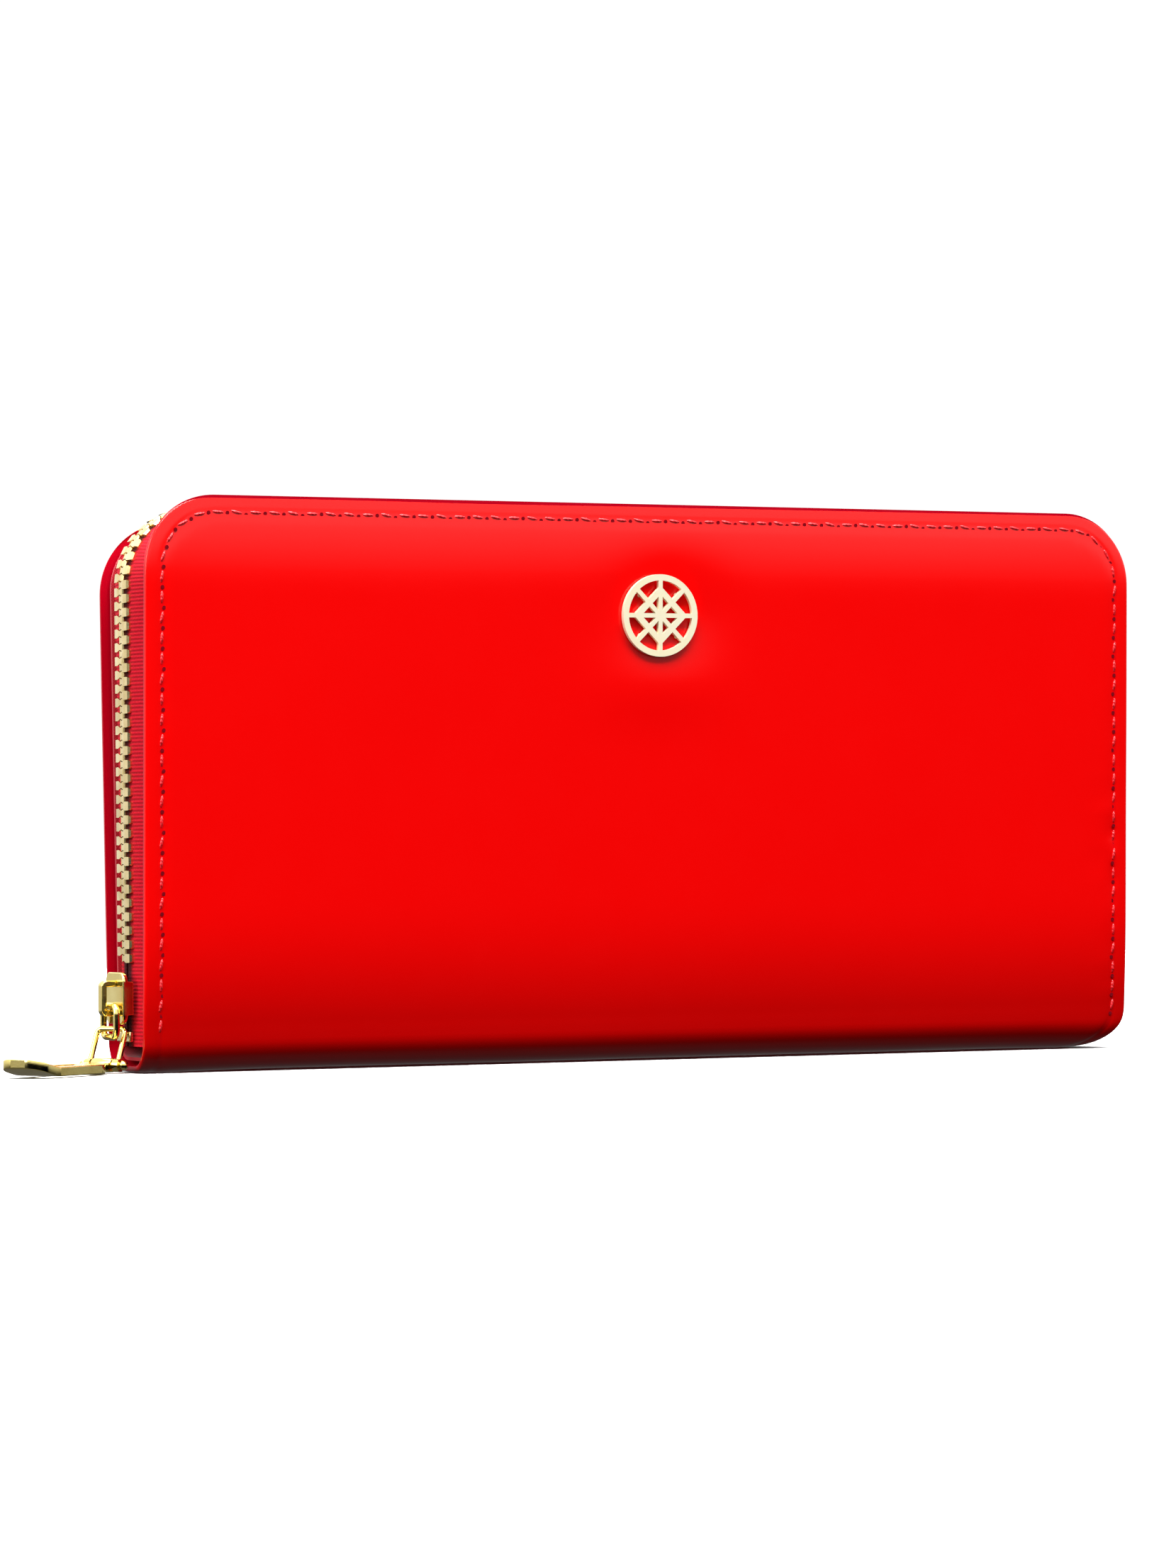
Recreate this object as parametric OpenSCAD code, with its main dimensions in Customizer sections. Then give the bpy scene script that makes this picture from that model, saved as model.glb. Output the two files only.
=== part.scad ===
// Long zip around wallet, standing upright on its spine.
// +X runs along the length, -Y is the front cover, +Z is up.
// The origin is the centre of the flat underside of the spine.

/* [Wallet] */
// Length of the wallet
wallet_w = 196; // [180:1:210]
// Height of the front cover above the base
wallet_h = 100; // [92:1:110]
// How much lower the back cover stands than the front one
back_drop = 3.5; // [0:0.5:4]
// Thickness at the zip
thick_top = 25; // [24:0.5:28]
// Thickness at the spine
thick_base = 19.5; // [19:0.5:21]
// Radius of the two upper corners
corner_r = 13; // [11:1:16]

/* [Leather and lining] */
// Thickness of the outer leather
leather_t = 1.2; // [1:0.1:1.3]
// Thickness of the stiffener boards
board_t = 0.8; // [0.7:0.1:0.8]
// Thickness of the lining and of each card pocket
lining_t = 0.6; // [0.5:0.1:0.6]
// Distance between stitches
stitch_pitch = 3.5; // [3:0.5:5]
// Inset of the stitching from the cover's edge
stitch_inset = 3; // [2.5:0.5:4]

/* [Spine] */
// Outer radius of the two long corners of the spine
spine_r = 5.5; // [4:0.5:6]
// Height of the fold lines that the covers turn about
fold_z = 8; // [8:0.5:9]

/* [Card pockets] */
// Card pockets on each cover
pocket_count = 4; // [2:1:4]
// Height of the tallest pocket's top edge
pocket_top = 88; // [80:1:90]
// Step down from each pocket to the next
pocket_step = 10; // [8:1:12]

/* [Coin pocket] */
// Length of the coin pocket
coin_w = 184; // [170:1:186]
// Height of the coin pocket's top edge
coin_top = 84; // [70:1:84]
// Overall thickness of the coin pocket
coin_t = 5.6; // [5.6:0.1:5.8]

/* [Zip] */
// Distance between teeth of one row
tooth_pitch = 2.4; // [2.4:0.1:3]
// Thickness of the metal teeth
tooth_t = 2.2; // [2:0.1:2.3]
// Thickness of the woven tape
tape_t = 0.5; // [0.4:0.05:0.5]
// Height of the slider's middle above the base
slider_z = 13; // [13:0.5:15]

/* [Emblem] */
// Diameter of the emblem ring
emblem_d = 14.8; // [12:0.2:18]
// Height of the emblem's centre
emblem_z = 80; // [60:1:84]

/* [Pull] */
// Length of the pull tab from its pin to its tip
tab_len = 25; // [20:1:28]
// Width of the pull tab
tab_w = 9; // [8:0.5:9]
// Direction of the pull tab, measured from the wallet's long side
tab_heading = 34; // [28:1:34]

/* [Hidden] */
$fn = 48;
leather_red = "#d2001e";
tape_red = "#b80020";
lining_tan = "#8f1420";
gold = "#d9b566";
gap = 0.05;

// Fold lines and the slope of the covers
fold_y = thick_base / 2 - leather_t / 2;
cover_tilt = atan((thick_top - thick_base) / 2 / (wallet_h - fold_z));
back_h = wallet_h - back_drop;
big = 300;

// Depths below the outer face of a cover
board_d = leather_t;
tape_d = leather_t + gap;
lining_d = leather_t + board_t;
pocket_d = lining_d + lining_t;

// Centre line of the zip chain
chain_half = wallet_w / 2 - 0.6;
chain_top = wallet_h - 2.5;
chain_r = corner_r;
tooth_w = 0.95;
head_reach = 0.7;
head_len = 1.5;
leg_len = 1.6;
tooth_start = slider_z + 5.7;
straight_len = chain_top - chain_r - tooth_start;
arc_len = chain_r * PI / 2;
top_len = 2 * (chain_half - chain_r);
chain_len = 2 * straight_len + 2 * arc_len + top_len;
tooth_count = floor(chain_len / tooth_pitch);

// Slider and pull chain
plate_in = 1.7;
plate_out = 2.6;
slider_len = 9;
slider_half = 4.3;
window_w = 1.7;
bail_t = 1;
ring_wire = 0.6;
ring_half = 3.3;
ring_drop = 5.4;
ring_corner = 1.4;
ring_x = -chain_half - plate_out - window_w / 2;
ring_top_z = slider_z - 2 + ring_wire + 0.1;
ring_low_z = ring_top_z - ring_drop;
shackle_wire = 0.5;
shackle_half = 3;
shackle_rise = 1.5;
pin_r = 0.6;
pin_z = 1.5;
barrel_r = 1.3;
shackle_len = 5.2;
shackle_lean = acos((ring_low_z - pin_z) / shackle_len);
tab_t = 1.6;

// Places along the zip: distance s from the lower left end
function chain_angle(s) =
    s < straight_len ? 0 :
    s < straight_len + arc_len ? (s - straight_len) / chain_r * 180 / PI :
    s < straight_len + arc_len + top_len ? 90 :
    s < chain_len - straight_len ? 90 + (s - straight_len - arc_len - top_len) / chain_r * 180 / PI :
    180;
function chain_point(s) =
    let (a = chain_angle(s), inner = chain_half - chain_r, top = chain_top - chain_r)
    s < straight_len ? [-chain_half, tooth_start + s] :
    s < straight_len + arc_len ? [-inner - chain_r * cos(a), top + chain_r * sin(a)] :
    s < straight_len + arc_len + top_len ? [-inner + s - straight_len - arc_len, chain_top] :
    s < chain_len - straight_len ? [inner - chain_r * cos(a), top + chain_r * sin(a)] :
    [chain_half, tooth_start + chain_len - s];

// ---------- Shared shapes ----------

// Cover outline in X and Z: square foot, two rounded upper corners
module cover_2d(half, top, r, foot) {
    translate([-half, foot]) square([2 * half, top - r - foot]);
    translate([-half + r, foot]) square([2 * (half - r), top - foot]);
    for (side = [-1, 1]) translate([side * (half - r), top - r]) circle(r, $fn = 96);
}

// Ring between a cover outline and the same outline moved inwards
module cover_rim_2d(half, top, r, foot, wall) {
    difference() {
        cover_2d(half, top, r, foot);
        cover_2d(half - wall, top - wall, max(r - wall, 3), foot - 1);
    }
}

// Extrudes an X-Z outline along +Y from y0
module slab(y0, t) {
    translate([0, y0 + t, 0]) rotate([90, 0, 0]) linear_extrude(t) children();
}

// Frame of the front cover: y = 0 is its outer face, +y goes inwards
module front_frame() {
    translate([0, -fold_y, fold_z]) rotate([cover_tilt, 0, 0])
        translate([0, -leather_t / 2, -fold_z]) children();
}

module back_frame() {
    mirror([0, 1, 0]) front_frame() children();
}

// U section of the spine in Y and Z
module spine_2d(half, r, bottom, top) {
    translate([-half, bottom + r]) square([2 * half, top - bottom - r]);
    translate([-half + r, bottom]) square([2 * (half - r), top - bottom]);
    for (side = [-1, 1]) translate([side * (half - r), bottom + r]) intersection() {
        circle(r, $fn = 64);
        translate([-r, -r]) square([2 * r, r]);
    }
}

// Extrudes a Y-Z section along X, centred
module along_x(len) {
    translate([-len / 2, 0, 0]) rotate([90, 0, 90]) linear_extrude(len) children();
}

// Rounded bar or plate outline made of squares and circles
module round_rect(w, h, r) {
    square([w - 2 * r, h], center = true);
    square([w, h - 2 * r], center = true);
    for (i = [-1, 1], j = [-1, 1]) translate([i * (w / 2 - r), j * (h / 2 - r)]) circle(r, $fn = 32);
}

// ---------- Spine ----------

spine_top = fold_z - leather_t / 2 - 0.3;

module spine_leather() {
    color(leather_red) along_x(wallet_w) difference() {
        spine_2d(thick_base / 2, spine_r, 0, spine_top);
        spine_2d(thick_base / 2 - leather_t, spine_r - leather_t, leather_t, spine_top + 5);
    }
}

module spine_board() {
    flat = thick_base - 2 * spine_r;
    color("#6b5a48") translate([-wallet_w / 2 + 4, -flat / 2, leather_t])
        cube([wallet_w - 8, flat, board_t]);
}

module spine_lining() {
    half = thick_base / 2 - leather_t - gap;
    color(lining_tan) along_x(wallet_w - 4) difference() {
        spine_2d(half, spine_r - 1.3, leather_t + board_t + gap, spine_top - 0.3);
        spine_2d(half - lining_t, spine_r - 1.9, leather_t + board_t + lining_t + gap, spine_top + 5);
    }
}

// ---------- Covers ----------

// Holes for the emblem's four prongs
prong_r = 0.45;
prong_place = 5.2;

module at_prongs() {
    for (a = [45:90:315])
        translate([prong_place * cos(a), 0, emblem_z + prong_place * sin(a)]) children();
}

module cover_leather(h) {
    slab(0, leather_t) cover_2d(wallet_w / 2, h, corner_r, fold_z);
    translate([-wallet_w / 2, leather_t / 2, fold_z]) rotate([0, 90, 0])
        cylinder(r = leather_t / 2, h = wallet_w);
}

module front_leather() {
    color(leather_red) front_frame() difference() {
        cover_leather(wallet_h);
        at_prongs() rotate([90, 0, 0]) cylinder(r = prong_r, h = 10, center = true);
    }
}

module back_leather() {
    color(leather_red) back_frame() cover_leather(back_h);
}

board_inset = 8;

module cover_board(h) {
    slab(board_d, board_t) cover_2d(wallet_w / 2 - board_inset, h, 6, fold_z + 1.5);
}

module front_board() {
    color("#6b5a48") front_frame() difference() {
        cover_board(wallet_h - 10);
        translate([0, 0, emblem_z]) rotate([90, 0, 0]) cylinder(r = 7.5, h = 10, center = true);
    }
}

module back_board() {
    color("#6b5a48") back_frame() cover_board(wallet_h - 10);
}

module cover_lining(h) {
    slab(lining_d, lining_t) cover_2d(chain_half - 0.9, h, corner_r - 1.5, fold_z + 1);
}

module front_lining() {
    color(lining_tan) front_frame() cover_lining(chain_top - 1.2);
}

module back_lining() {
    color(lining_tan) back_frame() cover_lining(back_h - 1);
}

pocket_half = 91;

// Card pocket number i, counted from the lining inwards
module card_pocket(i) {
    if (i < pocket_count)
        translate([-pocket_half, pocket_d + i * (lining_t + 0.02) + 0.02, fold_z + 4])
            cube([2 * pocket_half, lining_t, pocket_top - i * pocket_step - fold_z - 4]);
}

module front_pocket(i) { color(lining_tan) front_frame() card_pocket(i); }
module back_pocket(i) { color(lining_tan) back_frame() card_pocket(i); }

// One row of stitches round the three sewn edges of a cover
module stitch_row(h) {
    half = wallet_w / 2 - stitch_inset;
    top = h - stitch_inset;
    r = corner_r - stitch_inset;
    side = top - r - fold_z - 2;
    arc = r * PI / 2;
    run = 2 * (half - r);
    total = 2 * side + 2 * arc + run;
    count = floor(total / stitch_pitch);
    for (i = [0:count - 1]) {
        s = (i + 0.5) * total / count;
        a = s < side ? 0 : s < side + arc ? (s - side) / r * 180 / PI :
            s < side + arc + run ? 90 :
            s < total - side ? 90 + (s - side - arc - run) / r * 180 / PI : 180;
        p = s < side ? [-half, fold_z + 2 + s] :
            s < side + arc ? [-half + r - r * cos(a), top - r + r * sin(a)] :
            s < side + arc + run ? [-half + r + s - side - arc, top] :
            s < total - side ? [half - r - r * cos(a), top - r + r * sin(a)] :
            [half, fold_z + 2 + total - s];
        translate([p[0], -0.1, p[1]]) rotate([0, a, 0]) cube([0.5, 0.2, 2.6], center = true);
    }
}

module front_stitching() { color("#e8405a") front_frame() stitch_row(wallet_h); }
module back_stitching() { color("#e8405a") back_frame() stitch_row(back_h); }

// ---------- Emblem: a plain ring holding a four-pointed lattice ----------

emblem_t = 0.8;

module emblem_2d() {
    r = emblem_d / 2;
    bar = 1.1;
    difference() {
        circle(r, $fn = 96);
        circle(r - bar, $fn = 96);
    }
    for (a = [0:45:135]) rotate(a) square([2 * r - bar, 0.8], center = true);
    difference() {
        rotate(45) square(r * 1.02, center = true);
        rotate(45) square(r * 1.02 - 2 * bar, center = true);
    }
}

module emblem_plate() {
    color(gold) front_frame() {
        translate([0, 0, emblem_z]) rotate([90, 0, 0]) linear_extrude(emblem_t) emblem_2d();
        at_prongs() translate([0, 1.65, 0]) rotate([90, 0, 0]) cylinder(r = prong_r, h = 1.8);
    }
}

module emblem_washer() {
    color("silver") front_frame() difference() {
        translate([0, leather_t + 0.7, emblem_z]) rotate([90, 0, 0])
            linear_extrude(0.6) difference() { circle(7); circle(2.5); }
        at_prongs() rotate([90, 0, 0]) cylinder(r = prong_r + 0.02, h = 10, center = true);
    }
}

// ---------- Main zip ----------

// Front half of the tape: a flange sewn inside the cover's edge, a wall
// that crosses to the teeth, and two tails that run down inside the spine
module zip_tape_half() {
    wall_half = chain_half + tape_t / 2;
    wall_top = chain_top + tape_t / 2;
    edge = head_len + 0.1;
    front_frame() slab(tape_d, tape_t) cover_rim_2d(wall_half, wall_top, chain_r, fold_z + 0.6, 6.5);
    intersection() {
        slab(-thick_top, thick_top - edge)
            cover_rim_2d(wall_half, wall_top, chain_r + tape_t / 2, fold_z - 0.5, tape_t);
        front_frame() translate([-big / 2, tape_d, -big / 2]) cube(big);
        translate([-big / 2, -fold_y + 1.3, fold_z - 0.5]) cube(big);
    }
    for (side = [-1, 1])
        translate([side * chain_half - tape_t / 2, -6.5, 4.6]) cube([tape_t, 6.5 - edge, fold_z - 4.5]);
}

// One tooth of the front row: a head past the centre and two legs on the tape
module tooth(w) {
    slot = tape_t + 2 * gap;
    translate([-tooth_t / 2, -head_len, -w / 2]) cube([tooth_t, head_len + head_reach, w]);
    for (side = [0, 1]) mirror([side, 0, 0])
        translate([slot / 2, -head_len - leg_len, -w / 2])
            cube([(tooth_t - slot) / 2, leg_len + 0.01, w]);
}

module teeth_row(shift) {
    for (i = [0:tooth_count - 2]) {
        s = (i + shift) * tooth_pitch;
        p = chain_point(s);
        translate([p[0], 0, p[1]]) rotate([0, chain_angle(s), 0]) tooth(tooth_w);
    }
}

// Crimped stops below the last teeth
module zip_stops_half() {
    for (side = [-1, 1]) translate([side * chain_half, -0.3, 6.3]) {
        slot = tape_t + 2 * gap;
        difference() {
            translate([-tooth_t / 2, -2.9, -0.9]) cube([tooth_t, 2.8, 1.8]);
            translate([-slot / 2, -3, -1]) cube([slot, 1.75, 2]);
        }
    }
}

module front_zip_tape() { color(tape_red) zip_tape_half(); }
module front_zip_teeth() { color(gold) teeth_row(0.5); }
module front_zip_stops() { color(gold) zip_stops_half(); }
module back_zip_tape() { color(tape_red) mirror([0, 1, 0]) zip_tape_half(); }
module back_zip_teeth() { color(gold) mirror([0, 1, 0]) teeth_row(1); }
module back_zip_stops() { color(gold) mirror([0, 1, 0]) zip_stops_half(); }

// ---------- Slider and pull, at the lower left end of the zip ----------

module slider_plate() {
    rotate([90, 0, 90]) linear_extrude(plate_out - plate_in) round_rect(2 * slider_half, slider_len, 1.6);
}

module slider_body() {
    color(gold) translate([-chain_half, 0, slider_z]) {
        for (side = [0, 1]) mirror([side, 0, 0]) {
            translate([plate_in, 0, 0]) slider_plate();
            for (flip = [0, 1]) mirror([0, flip, 0])
                translate([0.6, slider_half - 0.8, -slider_len / 2 + 1.6])
                    cube([plate_in - 0.6 + 0.1, 0.8, slider_len - 3.2]);
        }
        translate([-plate_in - 0.1, 0, -slider_len / 2 + 2.4]) rotate([0, 90, 0])
            cylinder(r = 1.1, h = 2 * plate_in + 0.2);
    }
}

// Arch on the slider's outer plate that holds the ring
module slider_bail() {
    reach = window_w + bail_t;
    foot_h = 1.1;
    color(gold) translate([-chain_half - plate_out, 1, slider_z]) rotate([90, 0, 0])
        linear_extrude(2) difference() {
            union() {
                translate([-reach, -3.1 + bail_t]) square([reach, 6.2 - 2 * bail_t]);
                translate([-reach + bail_t, -3.1]) square([reach - bail_t, 6.2]);
                for (j = [-1, 1]) translate([-reach + bail_t, j * (3.1 - bail_t)]) circle(bail_t);
            }
            translate([-window_w, -3.1 + foot_h]) square([window_w + 1, 6.2 - 2 * foot_h]);
        }
}

// Closed loop of round wire in the Y-Z plane, its top bar on the origin
module wire_loop(wire, half, drop, r) {
    for (j = [0, 1]) translate([0, -half + r, -j * drop]) rotate([-90, 0, 0])
        cylinder(r = wire, h = 2 * (half - r));
    for (side = [-1, 1]) translate([0, side * half, -drop + r]) cylinder(r = wire, h = drop - 2 * r);
    for (side = [0, 1], low = [0, 1]) mirror([0, side, 0]) translate([0, 0, -drop / 2])
        mirror([0, 0, low]) translate([0, half - r, drop / 2 - r]) rotate([90, 0, 90])
            rotate_extrude(angle = 90) translate([r, 0]) circle(wire, $fn = 32);
}

module pull_ring() {
    color(gold) translate([ring_x, 0, ring_top_z]) wire_loop(ring_wire, ring_half, ring_drop, ring_corner);
}

// Frame on the ring's lower bar: local +x is the way that the tab points,
// local y runs along the pin, and the shackle leans outwards
module shackle_frame() {
    translate([ring_x, 0, ring_low_z]) rotate([0, 0, 180 + tab_heading]) rotate([0, -shackle_lean, 0])
        children();
}

module pull_shackle() {
    r = 1;
    drop = shackle_len;
    color(gold) shackle_frame() difference() {
        union() {
            translate([0, -shackle_half + r, shackle_rise]) rotate([-90, 0, 0])
                cylinder(r = shackle_wire, h = 2 * (shackle_half - r));
            for (side = [0, 1]) mirror([0, side, 0]) {
                translate([0, shackle_half, -drop]) cylinder(r = shackle_wire, h = drop + shackle_rise - r);
                translate([0, shackle_half - r, shackle_rise - r]) rotate([90, 0, 90])
                    rotate_extrude(angle = 90) translate([r, 0]) circle(shackle_wire, $fn = 32);
                translate([0, shackle_half - 0.6, -drop]) rotate([-90, 0, 0]) cylinder(r = 1.15, h = 1.2);
            }
        }
        translate([0, 0, -drop]) rotate([90, 0, 0]) cylinder(r = pin_r, h = 20, center = true);
    }
}

module pull_pin() {
    half = shackle_half + 0.6;
    color(gold) shackle_frame() translate([0, 0, -shackle_len]) {
        rotate([90, 0, 0]) cylinder(r = pin_r, h = 2 * half, center = true);
        for (side = [-1, 1]) translate([0, side * (half + 0.62), 0]) sphere(0.85, $fn = 32);
    }
}

// Frame on the pin: local +x points along the tab, level with the base
module tab_frame() {
    reach = shackle_len * sin(shackle_lean);
    translate([ring_x, 0, pin_z]) rotate([0, 0, 180 + tab_heading]) translate([reach, 0, 0]) children();
}

module pull_tab() {
    low = -pin_z + 0.3;
    neck = 3.6;
    slot_w = 3.6;
    slot_start = 5.2;
    slot_len = tab_len - 12;
    color(gold) tab_frame() difference() {
        union() {
            rotate([90, 0, 0]) cylinder(r = barrel_r - 0.1, h = 4.2, center = true);
            translate([0, -2.1, low]) cube([neck + 1, 4.2, tab_t]);
            translate([(neck + tab_len) / 2, 0, low]) linear_extrude(tab_t)
                round_rect(tab_len - neck, tab_w, 3);
        }
        rotate([90, 0, 0]) cylinder(r = pin_r + 0.06, h = 20, center = true);
        translate([slot_start + slot_len / 2, 0, low - 1]) linear_extrude(tab_t + 2)
            round_rect(slot_len, slot_w, 1.5);
    }
}

// ---------- Coin pocket, the middle divider ----------

hem_z = leather_t + board_t + lining_t + 0.6;
coin_base = fold_z + 1;

module coin_wall() {
    translate([-coin_w / 2, -coin_t / 2, coin_base]) cube([coin_w, lining_t, coin_top - coin_base]);
}

module coin_front_wall() { color(lining_tan) coin_wall(); }
module coin_back_wall() { color(lining_tan) mirror([0, 1, 0]) coin_wall(); }

// Folded strip that closes the two ends and the bottom of the pocket
module coin_frame() {
    depth = coin_t - 2 * lining_t;
    color(tape_red) slab(-depth / 2, depth) difference() {
        translate([-coin_w / 2, coin_base]) square([coin_w, coin_top - coin_base]);
        translate([-coin_w / 2 + 1.5, coin_base + 1.5]) square([coin_w - 3, big]);
    }
}

// Tongue that joins the pocket to the spine lining
module coin_hem() {
    color(tape_red) along_x(coin_w - 4) {
        translate([-0.4, hem_z + 0.4]) square([0.8, coin_base - hem_z - 0.4]);
        translate([0, hem_z + 0.4]) circle(0.4);
    }
}

coin_tooth_w = 0.9;
coin_pitch = 2.4;
coin_chain_half = coin_w / 2 - 8;
coin_teeth_n = floor((2 * coin_chain_half - 10) / coin_pitch);

module coin_tape() {
    translate([-coin_w / 2 + 1.5, -coin_t / 2 + lining_t, coin_top - 0.5])
        cube([coin_w - 3, coin_t / 2 - lining_t - 0.8, 0.4]);
}

module coin_teeth(shift) {
    for (i = [0:coin_teeth_n - 1])
        translate([-coin_chain_half + 10 + (i + shift) * coin_pitch, -0.7, coin_top - 1.1])
            cube([coin_tooth_w, 1.2, 1.6]);
}

module coin_front_tape() { color(tape_red) coin_tape(); }
module coin_back_tape() { color(tape_red) mirror([0, 1, 0]) coin_tape(); }
module coin_front_teeth() { color(gold) coin_teeth(0); }
module coin_back_teeth() { color(gold) mirror([0, 1, 0]) coin_teeth(0.5); }

coin_slider_x = -coin_chain_half + 4.5;

// Two plates joined by a post, with an eye for its pull
module coin_slider() {
    color(gold) translate([coin_slider_x, 0, coin_top - 0.3]) difference() {
        union() {
            for (z = [-1.9, 1.1]) translate([0, 0, z]) linear_extrude(0.8) round_rect(7, 4.2, 1.2);
            translate([-2, 0, -1.5]) cylinder(r = 0.6, h = 3);
            translate([-2.4, -0.5, 1.5]) cube([4.8, 1, 1.4]);
            translate([0, 0.5, 2.9]) rotate([90, 0, 0]) cylinder(r = 1.5, h = 1);
        }
        translate([0, 0, 3.1]) rotate([90, 0, 0]) cylinder(r = 0.75, h = 6, center = true);
    }
}

// Small pull: an eye pin through the slider and a flat tab beside it
module coin_pull() {
    color(gold) translate([coin_slider_x, 0, coin_top + 2.8]) {
        rotate([90, 0, 0]) cylinder(r = 0.6, h = 3.6, center = true);
        for (side = [-1, 1]) translate([-0.6, side * 1.3 - 0.5, -0.4]) cube([3.6, 1, 0.8]);
        translate([5.4, 0, -0.4]) linear_extrude(0.8) round_rect(5.6, 4, 1.2);
    }
}

spine_leather();
spine_board();
spine_lining();
front_leather();
front_board();
front_lining();
front_pocket(0);  // front_pocket_1
front_pocket(1);  // front_pocket_2
front_pocket(2);  // front_pocket_3
front_pocket(3);  // front_pocket_4
front_zip_tape();
front_zip_teeth();
front_zip_stops();
front_stitching();
emblem_plate();
emblem_washer();
back_leather();
back_board();
back_lining();
back_pocket(0);  // back_pocket_1
back_pocket(1);  // back_pocket_2
back_pocket(2);  // back_pocket_3
back_pocket(3);  // back_pocket_4
back_zip_tape();
back_zip_teeth();
back_zip_stops();
back_stitching();
coin_front_wall();
coin_back_wall();
coin_frame();
coin_hem();
coin_front_tape();
coin_back_tape();
coin_front_teeth();
coin_back_teeth();
coin_slider();
coin_pull();
slider_body();
slider_bail();
pull_ring();
pull_shackle();
pull_pin();
pull_tab();
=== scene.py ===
"""A long zip-around wallet in red patent leather: the finish of every piece, the studio and the camera.

Shapes are drawn in millimetres and turned into metres when each one becomes an object.
X runs along the wallet, the front cover faces -Y, and the spine stands on Z = 0."""

import math

import bmesh
import bpy
from mathutils import Matrix, Vector, noise


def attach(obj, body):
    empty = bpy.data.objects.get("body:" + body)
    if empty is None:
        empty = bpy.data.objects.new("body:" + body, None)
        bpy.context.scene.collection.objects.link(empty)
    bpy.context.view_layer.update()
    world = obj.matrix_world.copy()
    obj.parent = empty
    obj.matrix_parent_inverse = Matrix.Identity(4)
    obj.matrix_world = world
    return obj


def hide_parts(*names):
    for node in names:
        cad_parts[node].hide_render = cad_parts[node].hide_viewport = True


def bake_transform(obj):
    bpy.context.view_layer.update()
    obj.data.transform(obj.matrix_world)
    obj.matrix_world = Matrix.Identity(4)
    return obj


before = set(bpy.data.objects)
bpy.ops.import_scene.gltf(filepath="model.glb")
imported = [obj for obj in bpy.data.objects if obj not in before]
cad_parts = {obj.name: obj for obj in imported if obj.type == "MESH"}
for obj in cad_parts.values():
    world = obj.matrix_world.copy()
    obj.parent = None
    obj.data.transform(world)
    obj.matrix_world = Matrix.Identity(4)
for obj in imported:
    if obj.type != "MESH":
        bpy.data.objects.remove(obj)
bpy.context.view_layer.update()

# ---------- Sizes of the wallet, in millimetres ----------

MM = 0.001
HALF_W = 98.0
FRONT_H = 100.0
BACK_H = 96.5
CORNER_R = 13.0
FOOT_CORNER_R = 8.0
LEATHER_T = 1.2
EDGE_R = 0.45
FOLD_Y = 9.15
FOLD_Z = 8.0
TILT = math.atan(2.75 / 92.0)
SPINE_R = 5.5
EMBLEM_Z = 80.0

# Lengths along the leather, from the middle of the spine
FLAT = FOLD_Y + LEATHER_T / 2 - SPINE_R
ARC = SPINE_R * math.pi / 2
FOOT = FLAT + ARC + FOLD_Z - SPINE_R

CHAIN_X = 97.4
CHAIN_TOP = 97.5
TOOTH_FOOT = 18.7
TOOTH_PITCH = 2.4
TAPE_FOOT = 4.6

STITCH_PITCH = 3.5
STITCH_INSET = 3.0

# Card pockets: height of the first top edge, the step between edges, and where the stack begins
POCKETS = 4
POCKET_TOP = 88.0
POCKET_STEP = 10.0
POCKET_DEPTH = 2.6
POCKET_SHEET = 0.62

# The pull tab runs from its pin along this heading
PIN = Vector((-102.508, -1.118, 1.5))
TAB_WAY = Vector((-math.cos(math.radians(34)), -math.sin(math.radians(34)), 0.0))

# The tip of the tab turns up from this far along it, and is sliced every millimetre to bend
TAB_BEND = 18.4
TIP_SLICES = 7

# Columns of the leather, as distances from either end
EDGE_STEPS = (0, 0.08, 0.22, 0.42, 0.75, 1.3, 1.9, 2.3, 2.65, 3.0, 3.35, 3.7, 4.3, 5.5, 7.5, 10)
MIDDLE_COLUMNS = 72

# Faces of the metal parts larger than this many square millimetres stay flat
FLAT_FACE = 2.5

FRONT = -1
BACK = 1


# ---------- Small helpers for shapes ----------

def even(start, end, steps):
    """Evenly spaced numbers from start up to, but without, end"""
    return [start + (end - start) * i / steps for i in range(steps)]


def make_piece(name, shape, material, sharp=38.0):
    """Makes an object in metres from a shape in millimetres"""
    shape.transform(Matrix.Scale(MM, 4))
    mesh = bpy.data.meshes.new(name)
    shape.to_mesh(mesh)
    shape.free()
    mesh.polygons.foreach_set("use_smooth", [True] * len(mesh.polygons))
    mesh.set_sharp_from_angle(angle=math.radians(sharp))
    mesh.materials.append(material)
    piece = bpy.data.objects.new(name, mesh)
    bpy.context.scene.collection.objects.link(piece)
    return piece


def scatter(template, places):
    """One shape holding a copy of the template at every place"""
    pattern = bpy.data.meshes.new("pattern")
    template.to_mesh(pattern)
    template.free()
    shape = bmesh.new()
    for place in places:
        copy = pattern.copy()
        copy.transform(place)
        shape.from_mesh(copy)
        bpy.data.meshes.remove(copy)
    bpy.data.meshes.remove(pattern)
    return shape


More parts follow.
